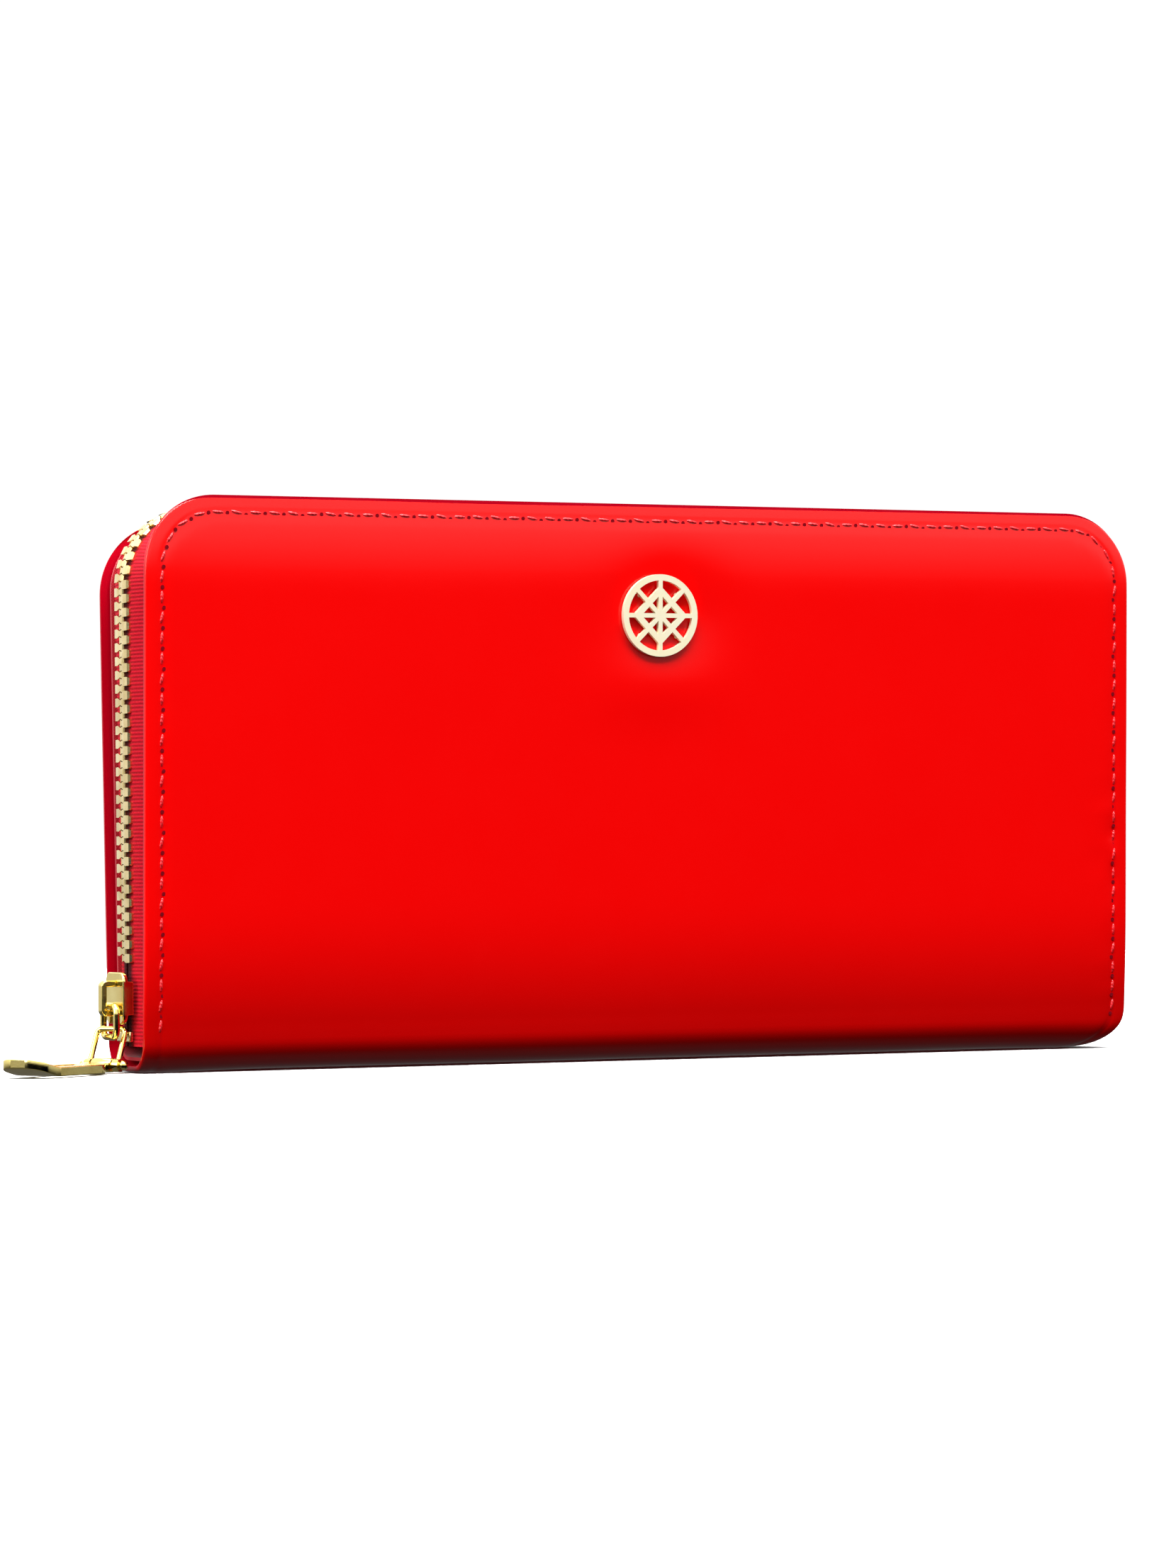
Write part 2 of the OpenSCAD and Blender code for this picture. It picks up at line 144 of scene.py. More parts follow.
def stacked(sides, rings):
    """A closed form grown ring by ring: each ring is (height, half width, half depth, shift)"""
    shape = bmesh.new()
    bmesh.ops.create_circle(shape, cap_ends=True, cap_tris=False, segments=sides, radius=1.0)
    shape.faces.ensure_lookup_table()
    face = shape.faces[0]
    turn = Matrix.Rotation(math.pi / sides, 4, "Z")
    bmesh.ops.transform(shape, matrix=turn, verts=shape.verts)
    flat = {vert: vert.co.copy() for vert in face.verts}
    for number, (height, wide, deep, shift) in enumerate(rings):
        if number:
            grown = bmesh.ops.extrude_face_region(shape, geom=[face], use_keep_orig=number == 1)
            fresh = [item for item in grown["geom"] if isinstance(item, bmesh.types.BMVert)]
            tops = [item for item in grown["geom"] if isinstance(item, bmesh.types.BMFace)]
            near = {}
            for vert in fresh:
                old = min(flat, key=lambda item: (item.co - vert.co).length)
                near[vert] = flat[old]
            flat = near
            face = tops[0]
        for vert, place in flat.items():
            vert.co = (place.x * wide, place.y * deep + shift, height)
    bmesh.ops.recalc_face_normals(shape, faces=shape.faces)
    return shape


def soften(name, node, material, width, segments=2, sharp=32.0, form=None, flat=FLAT_FACE):
    """A copy of a CAD part with its edges rounded over, and formed further if asked"""
    shape = bmesh.new()
    shape.from_mesh(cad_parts[node].data)
    shape.transform(Matrix.Scale(1 / MM, 4))
    bmesh.ops.remove_doubles(shape, verts=shape.verts, dist=0.004)
    bmesh.ops.dissolve_limit(shape, angle_limit=math.radians(1.5), verts=shape.verts, edges=shape.edges)
    keen = [
        edge for edge in shape.edges
        if len(edge.link_faces) == 2 and edge.calc_face_angle(0) > math.radians(sharp)
    ]
    bmesh.ops.bevel(
        shape, geom=keen, offset=width, segments=segments, profile=0.5,
        affect="EDGES", clamp_overlap=True, material=-1,
    )
    if form:
        form(shape)
    bmesh.ops.recalc_face_normals(shape, faces=shape.faces)
    piece = make_piece(name, shape, material, 42.0)
    for face in piece.data.polygons:
        face.use_smooth = face.area < flat * MM ** 2
    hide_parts(node)
    return piece


# ---------- Where things lie on the wallet ----------

def rim_parts(half, top, radius, foot):
    """Lengths of a side, a corner and the top of a three-sided path"""
    return top - radius - foot, radius * math.pi / 2, 2 * (half - radius)


def rim_length(half, top, radius, foot):
    side, arc, run = rim_parts(half, top, radius, foot)
    return 2 * side + 2 * arc + run


def rim_walk(half, top, radius, foot, gone):
    """X, Z and heading on the three-sided path, this far from its lower left end"""
    side, arc, run = rim_parts(half, top, radius, foot)
    if gone < side:
        return -half, foot + gone, 0.0
    gone -= side
    if gone < arc:
        turn = gone / radius
        return radius - half - radius * math.cos(turn), top - radius + radius * math.sin(turn), turn
    gone -= arc
    if gone < run:
        return radius - half + gone, top, math.pi / 2
    gone -= run
    if gone < arc:
        turn = math.pi / 2 + gone / radius
        return half - radius - radius * math.cos(turn), top - radius + radius * math.sin(turn), turn
    gone -= arc
    return half, top - radius - gone, math.pi


def cover_point(side, x, z, depth):
    """A place on a cover: z is measured up the cover and depth inwards from its outer face"""
    out = LEATHER_T / 2 - depth
    up = z - FOLD_Z
    y = FOLD_Y + out * math.cos(TILT) + up * math.sin(TILT)
    return Vector((x, side * y, FOLD_Z - out * math.sin(TILT) + up * math.cos(TILT)))


def shell_point(side, x, s, depth):
    """A place on the folded leather: s is measured from the middle of the spine"""
    if s < FLAT:
        return Vector((x, side * s, depth))
    if s < FLAT + ARC:
        turn = (s - FLAT) / SPINE_R
        reach = SPINE_R - depth
        return Vector((x, side * (FLAT + reach * math.sin(turn)), SPINE_R - reach * math.cos(turn)))
    if s < FOOT:
        return Vector((x, side * (FLAT + SPINE_R - depth), SPINE_R + s - FLAT - ARC))
    return cover_point(side, x, FOLD_Z + s - FOOT, depth)


def standing_height(s):
    """Height of a place on the folded leather above the table"""
    return shell_point(FRONT, 0.0, s, 0.0).z


# ---------- Leather covers, each with its half of the spine ----------

def shell_rows(height):
    corner = FOOT + height - FOLD_Z - CORNER_R
    rows = even(0, FLAT, 3) + even(FLAT, FLAT + ARC, 10) + even(FLAT + ARC, FOOT + 5, 12)
    rows += even(FOOT + 5, corner, 34)
    rows += [corner + CORNER_R * math.sin(math.pi / 2 * i / 24) for i in range(25)]
    return rows


def row_ends(s, height):
    """Left and right end of the leather, this far up from the middle of the spine"""
    up = standing_height(s)
    over = max(0.0, s - (FOOT + height - FOLD_Z - CORNER_R))
    drawn = CORNER_R - math.sqrt(max(0.0, CORNER_R ** 2 - over ** 2))
    left = -HALF_W + drawn
    right = HALF_W - drawn
    if up < FOOT_CORNER_R:
        right -= FOOT_CORNER_R - math.sqrt(FOOT_CORNER_R ** 2 - (FOOT_CORNER_R - up) ** 2)
    return left, right


def column_place(column, width):
    last = 2 * len(EDGE_STEPS) + MIDDLE_COLUMNS - 2
    if column < len(EDGE_STEPS):
        return EDGE_STEPS[column]
    if column > last - len(EDGE_STEPS):
        return width - EDGE_STEPS[last - column]
    inner = width - 2 * EDGE_STEPS[-1]
    return EDGE_STEPS[-1] + inner * (column - len(EDGE_STEPS) + 1) / MIDDLE_COLUMNS


def edge_distance(x, s, height):
    """Distance from the cut edge of the leather"""
    left, right = row_ends(s, height)
    up = s - FOOT + FOLD_Z
    inner_x = HALF_W - CORNER_R
    inner_z = height - CORNER_R
    if abs(x) > inner_x and up > inner_z:
        return max(0.0, CORNER_R - math.hypot(abs(x) - inner_x, up - inner_z))
    return max(0.0, min(x - left, right - x, height - up))


def bump_at(x, z, centre_x, centre_z, wide, tall):
    return math.exp(-((x - centre_x) / wide) ** 2 - ((z - centre_z) / tall) ** 2)


def leather_sink(side, x, s, edge, height):
    """How far the outer face of the leather lies below the flat panel"""
    up = s - FOOT + FOLD_Z
    sink = 0.0
    # The rounded cut edge, the slope down to it and the trough along the stitches
    if edge < EDGE_R:
        sink += EDGE_R - math.sqrt(max(0.0, EDGE_R ** 2 - (EDGE_R - edge) ** 2))
    sink += 0.28 * max(0.0, 1 - edge / 5.0) ** 2
    sink += 0.13 * math.exp(-((edge - STITCH_INSET) / 0.7) ** 2)
    # The top rolls inwards and the foot tucks under
    sink += 1.05 * max(0.0, 1 - (height - up) / 16.0) ** 2
    tucked = max(0.0, min(1.0, (s - FLAT) / ARC))
    sink += 0.95 * tucked * max(0.0, 1 - standing_height(s) / 28.0) ** 2
    # Slow waves all over, and short ripples along the right rim
    sink += 0.10 * noise.noise(Vector((x * 0.022, s * 0.03, side * 7.0)))
    right_rim = math.exp(-((x - HALF_W + 4.5) / 3.0) ** 2) * max(0.0, 1 - abs(up - 38) / 32)
    sink += 0.28 * right_rim * noise.noise(Vector((x * 0.3, s * 0.32, side * 3.0)))
    # The pinned emblem pulls the leather in and makes it swell below
    if side == FRONT:
        sink += 0.5 * bump_at(x, up, 2.5, EMBLEM_Z + 2.0, 9.5, 8.0)
        sink -= 0.22 * bump_at(x, up, 0.0, EMBLEM_Z - 13.0, 12.0, 6.0)
    return sink


def leather_shell(side, height):
    """One cover and half of the spine, as a folded sheet with rounded edges"""
    rows = shell_rows(height)
    columns = 2 * len(EDGE_STEPS) + MIDDLE_COLUMNS - 1
    shape = bmesh.new()
    bmesh.ops.create_grid(shape, x_segments=columns - 1, y_segments=len(rows) - 1, size=1.0)
    rim = shape.verts.layers.float.new("edge")
    for vert in shape.verts:
        column = round((vert.co.x + 1) / 2 * (columns - 1))
        s = rows[round((vert.co.y + 1) / 2 * (len(rows) - 1))]
        left, right = row_ends(s, height)
        x = left + column_place(column, right - left)
        vert.co = (x, s, 0.0)
        vert[rim] = edge_distance(x, s, height)
    grown = bmesh.ops.extrude_face_region(shape, geom=shape.faces[:], use_keep_orig=True)
    for item in grown["geom"]:
        if isinstance(item, bmesh.types.BMVert):
            item.co.z = LEATHER_T
            item[rim] = -1.0
    for vert in shape.verts:
        x, s, depth = vert.co
        if depth == 0.0:
            depth = leather_sink(side, x, s, vert[rim], height)
        place = shell_point(side, x, s, depth)
        near_foot = max(0.0, min(1.0, (FOOT + 3 - s) / 9))
        place.z += 0.35 * near_foot * (1 - abs(x / HALF_W) ** 7)
        vert.co = place
    bmesh.ops.recalc_face_normals(shape, faces=shape.faces)
    return shape


# ---------- Stitches ----------

def stitch_template():
    """A short twisted thread that dives into the leather at both ends"""
    rings = (
        (-1.15, 0.14, 0.12, 0.3),
        (-0.95, 0.2, 0.17, 0.1),
        (-0.4, 0.25, 0.2, -0.03),
        (0.4, 0.25, 0.2, -0.03),
        (0.95, 0.2, 0.17, 0.1),
        (1.15, 0.14, 0.12, 0.3),
    )
    return stacked(6, rings)


def cover_places(side, height):
    """Frames of the stitches round a cover: local z runs along the seam and local y goes inwards"""
    half = HALF_W - STITCH_INSET
    top = height - STITCH_INSET
    radius = CORNER_R - STITCH_INSET
    foot = FOLD_Z - 1.5
    total = rim_length(half, top, radius, foot)
    count = int(total / STITCH_PITCH)
    places = []
    for i in range(count):
        x, z, turn = rim_walk(half, top, radius, foot, (i + 0.5) * total / count)
        slant = 0.10 * math.sin(i * 2.3) + 0.13
        along = (cover_point(side, 0, 50, 0) - cover_point(side, 0, 40, 0)).normalized()
        heading = Vector((math.sin(turn + slant), 0, 0)) + along * math.cos(turn + slant)
        inward = (cover_point(side, 0, 50, 1) - cover_point(side, 0, 50, 0)).normalized()
        sideways = inward.cross(heading)
        sink = leather_sink(side, x, z - FOLD_Z + FOOT, STITCH_INSET, height)
        place = Matrix((sideways, inward, heading)).transposed().to_4x4()
        place.translation = cover_point(side, x, z, sink - 0.03)
        places.append(place)
    return places


def needle_hole_shade(places):
    """Small dark discs between the stitches, painted shade of the needle holes"""
    template = bmesh.new()
    bmesh.ops.create_cone(
        template, cap_ends=True, segments=8, radius1=0.3, radius2=0.36, depth=0.1,
        matrix=Matrix.Translation((0, -0.02, 1.72)) @ Matrix.Rotation(math.radians(90), 4, "X"),
    )
    return scatter(template, places)


def pocket_places(side):
    """Frames of the stitches on the card pockets: one row under each top edge and one up the middle"""
    into = (cover_point(side, 0, 50, 0) - cover_point(side, 0, 50, 1)).normalized()
    up = (cover_point(side, 0, 50, 0) - cover_point(side, 0, 40, 0)).normalized()
    spots = []
    for number in range(POCKETS):
        z = POCKET_TOP - POCKET_STEP * number - 1.8
        spots += [(x * STITCH_PITCH, z, number, Vector((1, 0, 0))) for x in range(-25, 26) if x]
    z = 16.0
    while z < POCKET_TOP - 3:
        number = min(POCKETS - 1, int((POCKET_TOP - z) / POCKET_STEP))
        spots.append((0.0, z, number, up))
        z += STITCH_PITCH
    places = []
    for x, z, number, heading in spots:
        place = Matrix((into.cross(heading), into, heading)).transposed().to_4x4()
        place.translation = cover_point(side, x, z, POCKET_DEPTH + POCKET_SHEET * (number + 1))
        places.append(place)
    return places


# ---------- Zip ----------

def tooth_template(side):
    """One metal tooth: two legs round the tape, a narrow waist and a cupped head"""
    rings = (
        (-3.2, 0.7, 0.75, 0.0),
        (-2.95, 1.25, 1.05, 0.0),
        (-1.5, 1.42, 1.12, 0.0),
        (-0.95, 1.42, 0.9, 0.0),
        (-0.5, 1.34, 0.62, 0.0),
        (0.0, 1.34, 0.66, 0.0),
        (0.4, 1.38, 0.9, 0.0),
        (0.75, 1.2, 0.78, 0.0),
        (0.95, 0.9, 0.42, 0.0),
    )
    shape = stacked(4, rings)
    bmesh.ops.transform(shape, matrix=Matrix.Rotation(math.radians(-90), 4, "X"), verts=shape.verts)
    if side == BACK:
        bmesh.ops.scale(shape, vec=(1, -1, 1), verts=shape.verts)
        bmesh.ops.reverse_faces(shape, faces=shape.faces)
    return shape


def chain_frame(gone, foot):
    """Frame on the chain: local x goes inwards, local y across and local z along it"""
    x, z, turn = rim_walk(CHAIN_X, CHAIN_TOP, CORNER_R, foot, gone)
    inward = Vector((math.cos(turn), 0, -math.sin(turn)))
    ahead = Vector((math.sin(turn), 0, math.cos(turn)))
    place = Matrix((inward, Vector((0, 1, 0)), ahead)).transposed().to_4x4()
    place.translation = (x, 0, z)
    return place


def teeth_row(side):
    total = rim_length(CHAIN_X, CHAIN_TOP, CORNER_R, TOOTH_FOOT)
    first = 0.5 if side == FRONT else 1.0
    count = int(total / TOOTH_PITCH) - 1
    places = [chain_frame((i + first) * TOOTH_PITCH, TOOTH_FOOT) for i in range(count)]
    return scatter(tooth_template(side), places)


def inner_face(z):
    """Distance from the middle of the wallet to the inner face of a cover's leather"""
    if z >= FOLD_Z:
        return FOLD_Y - LEATHER_T / 2 + (z - FOLD_Z) * math.tan(TILT)
    below = max(0.0, SPINE_R - z)
    return FLAT + math.sqrt(max(0.0, SPINE_R ** 2 - below ** 2)) - LEATHER_T


def tape_section(reach):
    """Section of half of the tape, as (distance from the middle, distance drawn inwards)"""
    wall = [(0.85 + (reach - 1.5) * i / 9, 1.9 * (i / 9) ** 1.7) for i in range(10)]
    turned = [(reach - 0.42, 2.15), (reach - 0.28, 2.6), (reach - 0.26, 3.3), (reach - 0.26, 6.5)]
    return wall + turned


def zip_tape(side):
    """Half of the zip's tape: a wall from the teeth to the cover, and the hem sewn inside it"""
    total = rim_length(CHAIN_X, CHAIN_TOP, CORNER_R, TAPE_FOOT)
    columns = 230
    rows = 14
    shape = bmesh.new()
    bmesh.ops.create_grid(shape, x_segments=columns - 1, y_segments=rows - 1, size=1.0)
    along = shape.verts.layers.float.new("along")
    across = shape.verts.layers.float.new("across")
    for vert in shape.verts:
        gone = (vert.co.x + 1) / 2 * total
        row = round((vert.co.y + 1) / 2 * (rows - 1))
        x, z, turn = rim_walk(CHAIN_X, CHAIN_TOP, CORNER_R, TAPE_FOOT, gone)
        _, drawn = tape_section(10.0)[row]
        x += math.cos(turn) * drawn
        z -= math.sin(turn) * drawn
        out, _ = tape_section(inner_face(z))[row]
        ripple = 0.12 * noise.noise(Vector((gone * 0.09, row * 0.3, side * 5.0))) * min(1.0, row / 4)
        vert[along] = gone
        vert[across] = out + drawn
        vert.co = (x + math.cos(turn) * ripple, side * out, z - math.sin(turn) * ripple)
    bmesh.ops.recalc_face_normals(shape, faces=shape.faces)
    bmesh.ops.solidify(shape, geom=shape.faces[:], thickness=0.35)
    bmesh.ops.recalc_face_normals(shape, faces=shape.faces)
    chart = shape.loops.layers.uv.new("weave")
    for face in shape.faces:
        for loop in face.loops:
            loop[chart].uv = (loop.vert[along], loop.vert[across])
    return shape


# ---------- Pull tab ----------

def turn_up_tip(shape):
    """Slices the tab near its tip, then bends the tip upwards"""
    for step in range(TIP_SLICES):
        cut = PIN + TAB_WAY * (TAB_BEND + step)
        everything = shape.verts[:] + shape.edges[:] + shape.faces[:]
        bmesh.ops.bisect_plane(shape, geom=everything, plane_co=cut, plane_no=TAB_WAY, dist=0.001)
    for vert in shape.verts:
        past = (vert.co - PIN).dot(TAB_WAY) - TAB_BEND
        if past > 0:
            vert.co.z += 0.13 * past ** 1.3
            vert.co -= TAB_WAY * 0.03 * past ** 1.3


# ---------- Shader building blocks ----------

def plug(tree, target, value):
    """Sets an input, or joins another node's output to it"""
    if isinstance(value, bpy.types.NodeSocket):
        tree.links.new(value, target)
    else:
        target.default_value = value


def add(tree, kind, settings=None, **inputs):
    """A shader node with its settings and inputs; input names use _ for a space"""
    made = tree.nodes.new("ShaderNode" + kind)
    for key, value in (settings or {}).items():
        setattr(made, key, value)
    for key, value in inputs.items():
        plug(tree, made.inputs[key.replace("_", " ")], value)
    return made


def math_node(tree, operation, first, second=0.0, clamp=False):
    made = add(tree, "Math", {"operation": operation, "use_clamp": clamp})
    plug(tree, made.inputs[0], first)
    plug(tree, made.inputs[1], second)
    return made.outputs[0]


def times(tree, first, second):
    return math_node(tree, "MULTIPLY", first, second)


def plus(tree, first, second):
    return math_node(tree, "ADD", first, second)


def remap(tree, value, low, high, new_low, new_high):
    """Moves a value from one range to another, smoothly and without leaving it"""
    made = add(tree, "MapRange", {"interpolation_type": "SMOOTHSTEP"})
    plug(tree, made.inputs["Value"], value)
    plug(tree, made.inputs["From Min"], low)
    plug(tree, made.inputs["From Max"], high)
    plug(tree, made.inputs["To Min"], new_low)
    plug(tree, made.inputs["To Max"], new_high)
    return made.outputs["Result"]


def blend_colours(tree, amount, first, second):
    made = add(tree, "Mix", {"data_type": "RGBA"})
    plug(tree, made.inputs[0], amount)
    plug(tree, made.inputs[6], first)
    plug(tree, made.inputs[7], second)
    return made.outputs[2]


def new_group(name, inputs, outputs):
    """An empty shader node group, with its input and output nodes"""
    tree = bpy.data.node_groups.new(name, "ShaderNodeTree")
    for label, value in inputs.items():
        socket = tree.interface.new_socket(label, in_out="INPUT", socket_type="NodeSocketFloat")
        socket.default_value = value
    for label in outputs:
        tree.interface.new_socket(label, in_out="OUTPUT", socket_type="NodeSocketFloat")
    return tree, tree.nodes.new("NodeGroupInput").outputs, tree.nodes.new("NodeGroupOutput").inputs


def grain_group():
    """Fine pores and pebbles of finished leather"""
    tree, given, result = new_group("leather grain", {"Scale": 1500.0, "Pores": 0.5}, ["Height"])
    where = add(tree, "TexCoord").outputs["Object"]
    cells = add(tree, "TexVoronoi", {"feature": "SMOOTH_F1"}, Vector=where, Scale=given["Scale"])
    cells.inputs["Smoothness"].default_value = 0.6
    fine = add(tree, "TexNoise", Vector=where, Scale=times(tree, given["Scale"], 1.7))
    pores = times(tree, cells.outputs["Distance"], given["Pores"])
    plug(tree, result["Height"], plus(tree, pores, fine.outputs["Fac"]))
    return tree


def smudge_group():
    """Soft patches of handling, from 0 to 1"""
    tree, given, result = new_group("smudges", {"Scale": 60.0, "Contrast": 0.5}, ["Amount"])
    where = add(tree, "TexCoord").outputs["Object"]
    patches = add(tree, "TexNoise", Vector=where, Scale=given["Scale"], Detail=5.0, Roughness=0.62)
    spread = times(tree, given["Contrast"], 0.5)
    low = math_node(tree, "SUBTRACT", 0.5, spread)
    high = plus(tree, 0.5, spread)
    plug(tree, result["Amount"], remap(tree, patches.outputs["Fac"], high, low, 1.0, 0.0))
    return tree


def crease_group():
    """Long shallow creases that run along the wallet"""
    tree, given, result = new_group("soft creases", {"Scale": 45.0, "Sharpness": 0.06}, ["Height"])
    where = add(tree, "TexCoord").outputs["Object"]
    turned = add(tree, "Mapping", Vector=where)
    turned.inputs["Rotation"].default_value = (0.0, 0.12, 0.0)
    turned.inputs["Scale"].default_value = (0.28, 1.0, 2.1)
    swirl = add(tree, "TexNoise", Vector=turned.outputs["Vector"], Scale=given["Scale"], Detail=3.0)
    away = math_node(tree, "ABSOLUTE", math_node(tree, "SUBTRACT", swirl.outputs["Fac"], 0.5))
    plug(tree, result["Height"], remap(tree, away, 0.0, given["Sharpness"], 0.0, 1.0))
    return tree


def weave_group():
    """Ribs across a woven tape, crossed by finer warp threads; needs the piece's weave chart"""
    tree, given, result = new_group("ribbed weave", {"Rib": 0.62, "Warp": 0.5}, ["Height", "Shade"])
    chart = add(tree, "UVMap", {"uv_map": "weave"}).outputs["UV"]
    split = add(tree, "SeparateXYZ", Vector=chart).outputs
    rib_rate = math_node(tree, "DIVIDE", 2 * math.pi, given["Rib"])
    warp_rate = math_node(tree, "DIVIDE", 2 * math.pi, given["Warp"])
    rib = math_node(tree, "SINE", times(tree, split["X"], rib_rate))
    warp = math_node(tree, "SINE", times(tree, split["Y"], warp_rate))
    crossed = times(tree, times(tree, rib, warp), 0.2)
    height = plus(tree, plus(tree, times(tree, rib, 0.3), crossed), 0.5)
    where = add(tree, "TexCoord").outputs["Object"]
    fuzz = add(tree, "TexNoise", Vector=where, Scale=2600.0, Detail=2.0).outputs["Fac"]
    mixed = plus(tree, times(tree, height, 0.8), times(tree, fuzz, 0.3))
    plug(tree, result["Height"], mixed)
    plug(tree, result["Shade"], remap(tree, mixed, 0.15, 0.85, 0.0, 1.0))
    return tree


def cloth_group():
    """A fine plain weave that needs no chart"""
    tree, given, result = new_group("plain cloth", {"Pitch": 0.00055}, ["Height"])
    where = add(tree, "TexCoord").outputs["Object"]
    split = add(tree, "SeparateXYZ", Vector=where).outputs
    rate = math_node(tree, "DIVIDE", 2 * math.pi, given["Pitch"])
    first = math_node(tree, "SINE", times(tree, split["X"], rate))
    rise = plus(tree, split["Z"], split["Y"])
    second = math_node(tree, "SINE", times(tree, rise, rate))
    both = times(tree, times(tree, first, second), 0.5)
    plug(tree, result["Height"], plus(tree, both, 0.5))
    return tree


def scratch_group():
    """Hairline scratches and tiny dents on plated metal"""
    tree, given, result = new_group("hairlines", {"Scale": 500.0, "Stretch": 9.0}, ["Height", "Patches"])
    where = add(tree, "TexCoord").outputs["Object"]
    sizes = add(tree, "CombineXYZ", X=1.0, Y=given["Stretch"], Z=given["Stretch"]).outputs["Vector"]
    pulled = add(tree, "VectorMath", {"operation": "MULTIPLY"})
    plug(tree, pulled.inputs[0], where)
    plug(tree, pulled.inputs[1], sizes)
    lines = add(tree, "TexNoise", Vector=pulled.outputs["Vector"], Scale=given["Scale"], Detail=4.0)
    patches = add(tree, "TexNoise", Vector=where, Scale=times(tree, given["Scale"], 0.5), Detail=3.0)
    plug(tree, result["Height"], lines.outputs["Fac"])
    plug(tree, result["Patches"], remap(tree, patches.outputs["Fac"], 0.35, 0.65, 0.0, 1.0))
    return tree


GRAIN = grain_group()
SMUDGES = smudge_group()
CREASES = crease_group()
WEAVE = weave_group()
CLOTH = cloth_group()
HAIRLINES = scratch_group()


def use(tree, group, **values):
    """Places a node group and returns its outputs"""
    placed = tree.nodes.new("ShaderNodeGroup")
    placed.node_tree = group
    for key, value in values.items():
        plug(tree, placed.inputs[key], value)
    return placed.outputs


def new_material(name, **fixed):
    """A material with its Principled shader, whose fixed values are given with _ for a space"""
    material = bpy.data.materials.new(name)
    material.use_nodes = True
    tree = material.node_tree
    tree.nodes.clear()
    shader = add(tree, "BsdfPrincipled", **fixed)
    tree.links.new(shader.outputs["BSDF"], add(tree, "OutputMaterial").inputs["Surface"])
    return material, tree, shader.inputs


def raise_surface(tree, target, height, strength, depth):
    """Gives the shader a bumped normal"""
    bump = add(tree, "Bump", Strength=strength, Distance=depth, Height=height)
    plug(tree, target["Normal"], bump.outputs["Normal"])


# ---------- Finishes ----------

def patent_material():
    """Red patent leather: a thick clear gloss over fine grain, with darker painted edges, and painted
    shade darkening it towards the foot
    """
    material, tree, target = new_material(
        "red patent leather", Coat_Roughness=0.09, Coat_IOR=1.38, Specular_IOR_Level=0.08,
    )
    edge = add(tree, "Attribute", {"attribute_name": "edge"}).outputs["Fac"]
    painted = remap(tree, edge, -0.2, 0.12, 1.0, 0.0)
    seam = math_node(tree, "ABSOLUTE", math_node(tree, "SUBTRACT", edge, STITCH_INSET))
    stitch_groove_with_painted_shade = remap(tree, seam, 0.0, 0.55, 1.0, 0.0)
    patches = use(tree, SMUDGES, Scale=9.0, Contrast=0.9)["Amount"]
    body = blend_colours(tree, patches, (0.93, 0.0, 0.0, 1), (0.89, 0.0, 0.0, 1))
    # Painted shade: the base colour darkens in the groove along the stitches; the same mask also sinks the
    # groove in the bump below
    body = blend_colours(tree, times(tree, stitch_groove_with_painted_shade, 0.25), body, (0.6, 0.0, 0.01, 1))
    # Painted shade: the base colour darkens towards the foot, over the lowest 34 mm
    place = add(tree, "SeparateXYZ", Vector=add(tree, "TexCoord").outputs["Object"]).outputs
    painted_foot_shade = math_node(tree, "POWER", remap(tree, place["Z"], 0.0, 0.034, 1.0, 0.0), 1.5)
    body = blend_colours(tree, times(tree, painted_foot_shade, 0.75), body, (0.34, 0.0, 0.0, 1))
    plug(tree, target["Base Color"], blend_colours(tree, painted, body, (0.5, 0.0, 0.012, 1)))
    haze = use(tree, SMUDGES, Scale=130.0, Contrast=0.6)["Amount"]
    plug(tree, target["Roughness"], remap(tree, haze, 0.0, 1.0, 0.29, 0.33))
    plug(tree, target["Coat Weight"], remap(tree, painted, 0.0, 1.0, 0.8, 0.25))
    grain = use(tree, GRAIN, Scale=2200.0, Pores=0.35)["Height"]
    crease = use(tree, CREASES, Scale=24.0, Sharpness=0.3)["Height"]
    height = plus(tree, times(tree, grain, 0.10), times(tree, crease, 0.025))
    height = math_node(tree, "SUBTRACT", height, times(tree, stitch_groove_with_painted_shade, 0.5))
    raise_surface(tree, target, height, 0.35, 0.00012)
    return material


def tape_material():
    """Crimson woven zip tape with cross ribs"""
    material, tree, target = new_material(
        "crimson zip tape", Roughness=0.85, Specular_IOR_Level=0.2, Sheen_Weight=0.12,
        Sheen_Roughness=0.4, Sheen_Tint=(1.0, 0.25, 0.3, 1),
    )
    threads = use(tree, WEAVE, Rib=0.66, Warp=0.5)
    cloth = blend_colours(tree, threads["Shade"], (0.3, 0.0, 0.006, 1), (0.62, 0.0, 0.016, 1))
    chart = add(tree, "UVMap", {"uv_map": "weave"}).outputs["UV"]
    from_chain = add(tree, "SeparateXYZ", Vector=chart).outputs["Y"]
    shaded = remap(tree, from_chain, 1.6, 3.4, 1.0, 0.0)
    seam = math_node(tree, "ABSOLUTE", math_node(tree, "SUBTRACT", from_chain, 9.6))
    shaded = math_node(tree, "MAXIMUM", shaded, remap(tree, seam, 0.1, 0.5, 0.4, 0.0))
    plug(tree, target["Base Color"], blend_colours(tree, shaded, cloth, (0.035, 0.0, 0.002, 1)))
    raise_surface(tree, target, threads["Height"], 0.8, 0.00016)
    return material


def strip_material():
    """The same crimson weave for plain strips inside"""
    material, tree, target = new_material("crimson strip", Roughness=0.85, Specular_IOR_Level=0.2)
    threads = use(tree, CLOTH, Pitch=0.0006)["Height"]
    cloth = blend_colours(tree, threads, (0.4, 0.0, 0.01, 1), (0.72, 0.004, 0.03, 1))
    plug(tree, target["Base Color"], cloth)
    raise_surface(tree, target, threads, 0.7, 0.0001)
    return material


